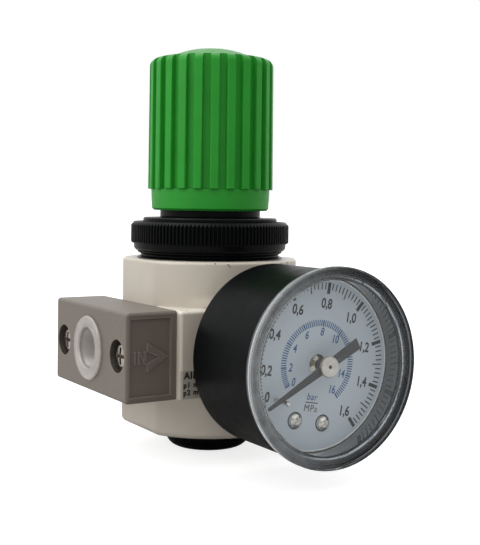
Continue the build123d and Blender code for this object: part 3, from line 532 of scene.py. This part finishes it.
def cap_plastic():
    """Thin half-clear polythene: part of what lies behind shows through it."""
    m = Mat("cap_plastic")
    b = m.bsdf((0.72, 0.68, 0.64), 0.16, spec=0.6, coat=1.0, coat_rough=0.03)
    tone = m.mix(m.ramp(m.noise(300.0, 2.0), 0.35, 0.7), (0.56, 0.52, 0.485), (0.50, 0.465, 0.43))
    # painted highlight along the sharp edges
    tone = m.mix(m.math("MULTIPLY", m.edge(0.00025, 0.01, 0.15), 0.6), tone, (0.80, 0.77, 0.74))
    # painted light: the inner wall of the cup is lightened as if lit through its mouth, brightest low down; its floor
    # is darkened with painted shade
    x, y, z = m.xyz(m.pos())
    dz = m.math("SUBTRACT", z, PORT_Z * MM)
    r = m.math("SQRT", m.math("ADD", m.math("MULTIPLY", y, y), m.math("MULTIPLY", dz, dz)))
    ax = m.math("ABSOLUTE", x)
    inner = m.ramp(r, 0.00485, 0.00500, 1.0, 0.0)
    wall = m.math("MULTIPLY", inner, m.ramp(ax, (PLATE_X - 0.6) * MM, (PLATE_X + 0.3) * MM, 1.0, 0.0))
    painted_wall_light = m.math("MULTIPLY", m.ramp(z, (PORT_Z - 4.4) * MM, (PORT_Z - 2.2) * MM, 1.0, 0.35), m.ramp(y, 0.0, 3.0 * MM, 0.3, 1.0))
    tone = m.mix(m.math("MULTIPLY", wall, painted_wall_light), tone, (1.0, 0.975, 0.95))
    painted_floor_shade = m.math("MULTIPLY", m.ramp(r, 0.0040, 0.0043, 1.0, 0.0), m.ramp(ax, 0.0258, 0.0264, 1.0, 0.0))
    tone = m.mix(painted_floor_shade, tone, (0.44, 0.405, 0.375))
    m.link(tone, b.inputs["Base Color"])
    n = m.bump(m.noise(180.0, 1.0), 0.03, 0.00008, m.bevel(0.00012))
    m.link(n, b.inputs["Normal"])
    m.link(m.ramp(m.noise(300.0, 2.0), 0.3, 0.75, 0.12, 0.20), b.inputs["Roughness"])
    clear = m.n("ShaderNodeBsdfTransparent")
    clear.inputs["Color"].default_value = (0.93, 0.92, 0.91, 1)
    lp = m.n("ShaderNodeLightPath")
    through = m.math("MAXIMUM", lp.outputs["Is Shadow Ray"], lp.outputs["Is Diffuse Ray"])
    mix = m.n("ShaderNodeMixShader")
    seen = m.math("SUBTRACT", 0.42, m.math("MULTIPLY", wall, 0.34))
    m.link(m.math("MULTIPLY_ADD", through, 0.40, seen), mix.inputs[0])
    m.link(b.outputs[0], mix.inputs[1])
    m.link(clear.outputs[0], mix.inputs[2])
    m.link(mix.outputs[0], m.out.inputs["Surface"])
    return m.m


def label_film():
    m = Mat("label_film")
    b = m.bsdf((0.66, 0.60, 0.515), 0.30, spec=0.5)
    m.link(m.mix(m.ramp(m.noise(260.0, 2.0), 0.3, 0.75), (0.410, 0.374, 0.325), (0.392, 0.357, 0.310)), b.inputs["Base Color"])
    m.link(m.bump(m.noise(800.0, 2.0), 0.15, 0.00005), b.inputs["Normal"])
    return m.m


BODY_PAINT, PLATE_PAINT, GREEN, BLACK, CASE, CLEAR, DIAL = body_paint(), plate_paint(), knob_green(), black_plastic(), case_black(), clear_plastic(), dial_white()
INK_BLACK = flat_ink("print_black", (0.010, 0.011, 0.014))
INK_BLUE = flat_ink("print_blue", (0.012, 0.110, 0.300))
RIM_HIGHLIGHT = flat_ink("dial_rim_painted_highlight", (0.93, 0.96, 0.98))
INK_LABEL = flat_ink("label_print", (0.008, 0.008, 0.008))
POINTER = pointer_black()
STEEL = metal("plated_steel", (0.80, 0.76, 0.70), 0.20, 0.05, (1, 1, 3), spread=0.06, edge=0.00008)
CAP_METAL = turned_cap()
SPRING = metal("spring_steel", (0.46, 0.46, 0.47), 0.32, 0.3)
BRASS = metal("brass", (0.68, 0.56, 0.36), 0.28, 0.3)
SCREW = metal("screw_steel", (0.60, 0.55, 0.50), 0.24, 0.06, spread=0.06, edge=0.00010)
NICKEL = metal("nickel_plate", (0.66, 0.62, 0.55), 0.26, 0.08, spread=0.06)
ALLOY = metal("alloy", (0.72, 0.73, 0.75), 0.35, 0.3)
RUBBER, CAP_PLASTIC, FILM = rubber(), cap_plastic(), label_film()
BY_SLOT = {
    "body_paint": BODY_PAINT, "plate_paint": PLATE_PAINT, "knob_green": GREEN, "black_plastic": BLACK,
    "case_black": CASE, "clear_plastic": CLEAR, "dial_white": DIAL, "pointer_black": POINTER,
    "plated_steel": STEEL, "spring_steel": SPRING, "brass": BRASS, "alloy": ALLOY, "rubber": RUBBER,
    "cap_plastic": CAP_PLASTIC,
}
SLOT_OF = {}
for sub in frame["record"].get("subparts", []):
    SLOT_OF[sub["node"]] = sub.get("material_slot") or sub.get("slot") or sub.get("material")

for name, ob in NODES.items():
    slot = SLOT_OF.get(name)
    mat = {"pointer_cap": CAP_METAL, "movement_frame": NICKEL, "plate_screws": SCREW}.get(name) or BY_SLOT[slot]
    ob.data.materials.clear()
    ob.data.materials.append(mat)
    ob.data.shade_smooth()
    ob.data.set_sharp_from_angle(angle=math.radians(28))
    wn = ob.modifiers.new("weighted", "WEIGHTED_NORMAL")
    wn.keep_sharp = True
    wn.weight = 60

# ------------------------------------------------------------------ dial print
T0, T1 = DIAL_L + 0.001, DIAL_L + 0.018       # ink, a little proud of the dial
ZERO, FULL = -128.0, 135.0


def mark_angle(v):
    """Angle of a pressure in MPa, clockwise from the top: the scale is even above its first step."""
    pts = [(0.0, -128.0), (0.2, -101.25), (0.4, -67.5), (0.6, -33.75), (0.8, 0.0), (1.0, 33.75), (1.2, 67.5), (1.4, 101.25), (1.6, 135.0)]
    return float(np.interp(v, [p[0] for p in pts], [p[1] for p in pts]))


def tick(soup, angle, r0, r1, w0, w1=None, z0=T0, z1=T1):
    w1 = w0 if w1 is None else w1
    a = math.radians(angle)
    d, t = (math.sin(a), math.cos(a)), (math.cos(a), -math.sin(a))
    pts = [(d[0] * r + t[0] * w, d[1] * r + t[1] * w) for r, w in ((r0, w0 / 2), (r1, w1 / 2), (r1, -w1 / 2), (r0, -w0 / 2))]
    soup.prism(pts, z0, z1)


black, blue = Soup(), Soup()
for i in range(81):
    v = i * 0.02
    if i % 10 == 0:
        tick(black, mark_angle(v), 15.0, 17.45, 0.78)
    elif i % 5 == 0:
        tick(black, mark_angle(v), 15.0, 17.4, 0.28)
    else:
        tick(black, mark_angle(v), 15.85, 17.4, 0.27)
for i, label in enumerate(["0", "0,2", "0,4", "0,6", "0,8", "1,0", "1,2", "1,4", "1,6"]):
    if i == 0:
        a, r = math.radians(-124.6), 14.0
    else:
        a, r = math.radians(mark_angle(i * 0.2)), 13.0
    lettering(black, label, math.sin(a) * r, math.cos(a) * r, 2.05, T0, T1, squeeze=0.80, bold=0.028, spacing=1.0)
for i in range(81):
    v = i * 0.02
    tick(blue, mark_angle(v), 8.05, 9.4, (0.255 if i > 10 else 0.215) if i % 10 else 0.36)
for i in range(9):
    a = math.radians(mark_angle(i * 0.2))
    lettering(blue, str(2 * i), math.sin(a) * 6.95, math.cos(a) * 6.95, 1.7, T0, T1, squeeze=0.76, bold=0.022, slant=0.08)
lettering(blue, "bar", 0.0, -6.95, 1.4, T0, T1, squeeze=0.95, bold=0.012, spacing=1.1, slant=0.12)
black.prism([(-1.62, -8.32), (1.62, -8.32), (1.62, -8.12), (-1.62, -8.12)], T0, T1)
lettering(black, "MPa", 0.0, -9.36, 1.45, T0, T1, squeeze=0.94, spacing=1.12, bold=0.0)
# a thin white ring at the dial's edge: a painted highlight for the light caught at the dial's edge
rim = Soup()
seg = 144
ring = [(r, z) for r, z in ((18.22, T0), (18.30, T0 + 0.06), (18.585, T0 + 0.06), (18.59, T0))]
rv = [(r * math.cos(2 * math.pi * k / seg), r * math.sin(2 * math.pi * k / seg), z) for k in range(seg) for r, z in ring]
rf = [[k * 4 + j, ((k + 1) % seg) * 4 + j, ((k + 1) % seg) * 4 + (j + 1) % 4, k * 4 + (j + 1) % 4] for k in range(seg) for j in range(4)]
rim.add(rv, rf)
add_piece("dial_rim_highlight_ring", gauge(rim.verts()), rim.f, RIM_HIGHLIGHT, "housing", smooth=True)
add_piece("dial_print_black", gauge(black.verts()), black.f, INK_BLACK, "housing")
add_piece("dial_print_blue", gauge(blue.verts()), blue.f, INK_BLUE, "housing")

# ------------------------------------------------------------------ label on the front pad
def on_pad(p, off=0.0):
    """x right, y up from the gauge axis height, third is the height above the pad."""
    p = np.asarray(p, float).reshape(-1, 3)
    return np.stack([p[:, 0], -(PAD_Y + p[:, 2]), p[:, 1]], 1) * MM


film = Soup()
L0, L1, B0, B1 = -19.3, -7.4, 16.45, 22.75
corner = []
for cx, cy, a0 in ((L1 - 0.4, B0 + 0.4, -90), (L1 - 0.4, B1 - 0.4, 0), (L0 + 0.0, B1 - 0.0, 90), (L0 + 0.0, B0 + 0.0, 180)):
    rr = 0.4 if cx > -15 else 0.0
    for k in range(5 if rr else 1):
        a = math.radians(a0 + k * 22.5)
        corner.append((cx + rr * math.cos(a), cy + rr * math.sin(a)))
film.prism(corner, 0.002, 0.035)
wrap = [(-19.3, 0.0), (-19.45, 0.0), (-19.6, 0.0), (-19.75, 0.0), (-19.86, 0.0)]
wrap = [(x, 0.8 - math.sqrt(0.64 - (x + 19.2) ** 2)) for x, _ in wrap]
for (xa, da), (xb, db) in zip(wrap, wrap[1:]):
    film.add([(xb, B0, 0.035 - db), (xa, B0, 0.035 - da), (xa, B1, 0.035 - da), (xb, B1, 0.035 - db)], [[0, 1, 2, 3]])
add_piece("label_film", on_pad(film.verts()), film.f, FILM, "housing")
ink = Soup()
lettering(ink, "AIR", -19.1, 20.98, 1.5, 0.035, 0.05, squeeze=0.98, bold=0.045, spacing=1.14, align="left")
lettering(ink, "p1 max", -19.1, 19.02, 1.15, 0.035, 0.05, squeeze=0.98, bold=0.045, spacing=1.2, align="left")
lettering(ink, "p2 max", -19.1, 17.32, 1.15, 0.035, 0.05, squeeze=0.98, bold=0.045, spacing=1.2, align="left")
add_piece("label_print", on_pad(ink.verts()), ink.f, INK_LABEL, "housing")


# ------------------------------------------------------------------ port threads
def thread(name, side, mat, r_root, r_crest, pitch, x0, x1):
    """Inside thread: a ridge on a helix round the X axis, faded in and out at its ends."""
    seg = 56
    turns = (x1 - x0) / pitch - 0.9
    n = int(turns * seg)
    prof = [(-0.46, 0.0), (-0.30, 0.28), (-0.12, 0.86), (0.0, 1.0), (0.12, 0.86), (0.30, 0.28), (0.46, 0.0)]
    v, f = [], []
    for i in range(n + 1):
        a = 2 * math.pi * i / seg
        fade = min(1.0, i / (seg * 0.6), (n - i) / (seg * 0.6))
        fade = max(fade, 0.0) ** 0.6
        c = x0 + pitch * (0.45 + i / seg)
        for u, h in prof:
            r = r_root + 0.02 - (r_root + 0.02 - r_crest) * h * fade
            v.append((side * (c + u * pitch), r * math.cos(a), PORT_Z + r * math.sin(a)))
    m = len(prof)
    for i in range(n):
        for k in range(m - 1):
            q = [i * m + k, i * m + k + 1, (i + 1) * m + k + 1, (i + 1) * m + k]
            f.append(q if side > 0 else q[::-1])
    return add_piece(name, np.array(v) * MM, f, mat, "housing", smooth=True)


thread("inlet_port_thread", -1, PLATE_PAINT, 6.58, 5.74, 1.337, PLATE_X - 9.4, PLATE_X - 0.55)
thread("outlet_port_thread", 1, PLATE_PAINT, 6.58, 5.74, 1.337, PLATE_X - 9.4, PLATE_X - 0.55)

# ------------------------------------------------------------------ floor and backdrop light
fm = Mat("studio_floor")
emit = fm.n("ShaderNodeEmission")
emit.inputs["Color"].default_value = (1, 1, 1, 1)
emit.inputs["Strength"].default_value = 1.0
diff = fm.n("ShaderNodeBsdfDiffuse")
diff.inputs["Color"].default_value = (2.4, 2.4, 2.4, 1)
soft = fm.n("ShaderNodeMixShader")
soft.inputs[0].default_value = 0.22
fm.link(emit.outputs[0], soft.inputs[1])
fm.link(diff.outputs[0], soft.inputs[2])
dim = fm.n("ShaderNodeBsdfDiffuse")
dim.inputs["Color"].default_value = (0.50, 0.495, 0.485, 1)
lp = fm.n("ShaderNodeLightPath")
pick = fm.n("ShaderNodeMixShader")
fm.link(lp.outputs["Is Camera Ray"], pick.inputs[0])
fm.link(dim.outputs[0], pick.inputs[1])
fm.link(soft.outputs[0], pick.inputs[2])
fm.link(pick.outputs[0], fm.out.inputs["Surface"])
fme = bpy.data.meshes.new("studio_floor")
S = 30.0
fme.from_pydata([(-S, -S, -0.00002), (S, -S, -0.00002), (S, S, -0.00002), (-S, S, -0.00002)], [], [(0, 1, 2, 3)])
floor = bpy.data.objects.new("studio_floor", fme)
fme.materials.append(fm.m)
scene.collection.objects.link(floor)

world = bpy.data.worlds.new("studio")
scene.world = world
world.use_nodes = True
wt = world.node_tree
wt.nodes.clear()


class World(Mat):
    def __init__(self, tree):
        self.nt = tree
        self.out = tree.nodes.new("ShaderNodeOutputWorld")


w = World(wt)
gen = w.n("ShaderNodeTexCoord").outputs["Generated"]


def lobe(direction, lo, hi, gain):
    """A soft box: brightness by the angle to a direction."""
    d = Vector(direction).normalized()
    dot = w.n("ShaderNodeVectorMath", operation="DOT_PRODUCT")
    w.link(gen, dot.inputs[0])
    dot.inputs[1].default_value = d
    return w.math("MULTIPLY", w.ramp(dot.outputs["Value"], lo, hi), gain)


level = w.math("ADD", 0.095, lobe((0, 0, 1), 0.25, 0.95, 0.85))
level = w.math("ADD", level, lobe((-1.0, 0.15, 0.35), 0.45, 0.95, 0.60))
level = w.math("ADD", level, lobe((0.9, 0.1, 0.25), 0.40, 0.95, 0.70))
level = w.math("ADD", level, lobe((-0.25, -1.0, 0.55), 0.60, 0.97, 0.28))
level = w.math("ADD", level, lobe((-0.1, 1.0, 0.15), 0.15, 0.9, 0.6))
bg = w.n("ShaderNodeBackground")
bg.inputs["Color"].default_value = (1, 1, 1, 1)
w.link(level, bg.inputs["Strength"])
white = w.n("ShaderNodeBackground")
white.inputs["Color"].default_value = (1, 1, 1, 1)
white.inputs["Strength"].default_value = 1.0
wlp = w.n("ShaderNodeLightPath")
wmix = w.n("ShaderNodeMixShader")
w.link(wlp.outputs["Is Camera Ray"], wmix.inputs[0])
w.link(bg.outputs[0], wmix.inputs[1])
w.link(white.outputs[0], wmix.inputs[2])
w.link(wmix.outputs[0], w.out.inputs["Surface"])


def area(name, loc, target, size, power, colour=(1, 1, 1)):
    li = bpy.data.lights.new(name, "AREA")
    li.shape = "RECTANGLE"
    li.size, li.size_y = size
    li.energy = power
    li.color = colour
    ob = bpy.data.objects.new(name, li)
    ob.location = loc
    ob.rotation_mode = "QUATERNION"
    ob.rotation_quaternion = (Vector(target) - Vector(loc)).to_track_quat("-Z", "Y")
    scene.collection.objects.link(ob)
    ob.visible_camera = False
    return ob


area("key_left", (-0.62, 0.02, 0.40), (0, 0, 0.05), (0.35, 0.5), 1.05)
area("top_soft", (-0.05, 0.15, 0.75), (0, 0, 0.05), (0.5, 0.5), 1.7)

# ------------------------------------------------------------------ camera
CAM = Vector((-127.764, -216.866, 60.879)) * MM
yaw, pitch, roll = (math.radians(a) for a in (-31.513, -1.146, 0.681))
fwd = Vector((-math.sin(yaw) * math.cos(pitch), math.cos(yaw) * math.cos(pitch), math.sin(pitch)))
right = Vector((math.cos(yaw), math.sin(yaw), 0.0))
up = right.cross(fwd)
r2 = right * math.cos(roll) + up * math.sin(roll)
u2 = up * math.cos(roll) - right * math.sin(roll)
cam_data = bpy.data.cameras.new("camera")
cam = bpy.data.objects.new("camera", cam_data)
scene.collection.objects.link(cam)
cam.matrix_world = Matrix(((r2.x, u2.x, -fwd.x, CAM.x), (r2.y, u2.y, -fwd.y, CAM.y), (r2.z, u2.z, -fwd.z, CAM.z), (0, 0, 0, 1)))
cam_data.sensor_fit = "AUTO"
cam_data.sensor_width = 36.0
cam_data.lens = 1007.738 * 36.0 / 545.0
cam_data.shift_x = 0.02237
cam_data.shift_y = -0.09565
cam_data.clip_start, cam_data.clip_end = 0.005, 100.0
scene.camera = cam
scene.view_settings.view_transform = "Standard"
scene.view_settings.look = "None"
